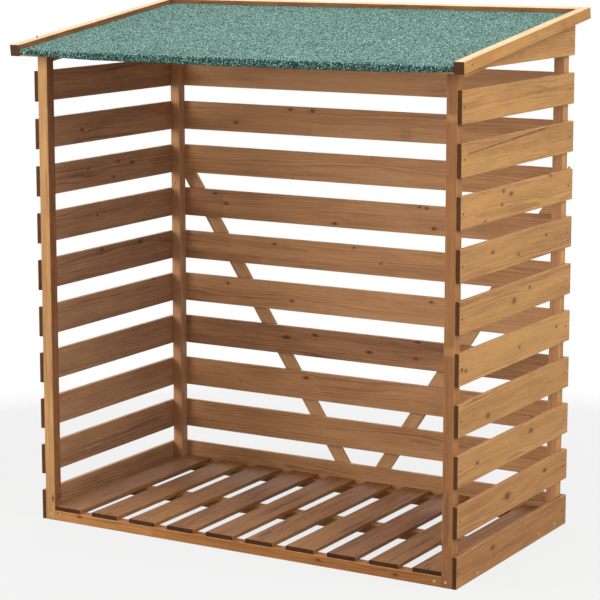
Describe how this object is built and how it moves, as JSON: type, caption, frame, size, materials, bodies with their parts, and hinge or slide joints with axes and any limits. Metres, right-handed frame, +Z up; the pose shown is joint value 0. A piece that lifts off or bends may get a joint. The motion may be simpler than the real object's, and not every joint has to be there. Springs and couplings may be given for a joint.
{
  "type": "log store",
  "caption": "Open-fronted log store of slatted timber on square posts, with a slatted floor, V braces across the back and a lean-to board roof under green mineral felt.",
  "frame": {"origin": "on the ground, under the middle of the roof's outline", "axes": "+X to the right seen from the open front, +Y from the open front to the back, +Z up"},
  "size_m": [1.4644, 0.8374, 1.5432],
  "materials": {
    "stained_timber": "planed softwood, brown dip stain, matt",
    "mineral_felt": "green mineral granules on bitumen felt, rough"
  },
  "bodies": {
    "root": {"back_braces": "stained_timber", "back_left_post": "stained_timber", "back_right_post": "stained_timber", "back_slat_01": "stained_timber", "back_slat_02": "stained_timber", "back_slat_03": "stained_timber", "back_slat_04": "stained_timber", "back_slat_05": "stained_timber", "back_slat_06": "stained_timber", "back_slat_07": "stained_timber", "back_slat_08": "stained_timber", "back_slat_09": "stained_timber", "back_slat_10": "stained_timber", "back_slat_11": "stained_timber", "floor_bearers": "stained_timber", "floor_slats": "stained_timber", "front_left_post": "stained_timber", "front_rail": "stained_timber", "front_right_post": "stained_timber", "left_slat_01": "stained_timber", "left_slat_02": "stained_timber", "left_slat_03": "stained_timber", "left_slat_04": "stained_timber", "left_slat_05": "stained_timber", "left_slat_06": "stained_timber", "left_slat_07": "stained_timber", "left_slat_08": "stained_timber", "left_slat_09": "stained_timber", "left_slat_10": "stained_timber", "left_slat_11": "stained_timber", "rafters": "stained_timber", "right_slat_01": "stained_timber", "right_slat_02": "stained_timber", "right_slat_03": "stained_timber", "right_slat_04": "stained_timber", "right_slat_05": "stained_timber", "right_slat_06": "stained_timber", "right_slat_07": "stained_timber", "right_slat_08": "stained_timber", "right_slat_09": "stained_timber", "right_slat_10": "stained_timber", "right_slat_11": "stained_timber", "roof_battens": "stained_timber", "roof_deck": "stained_timber", "roof_felt": "mineral_felt"}
  },
  "joints": []
}
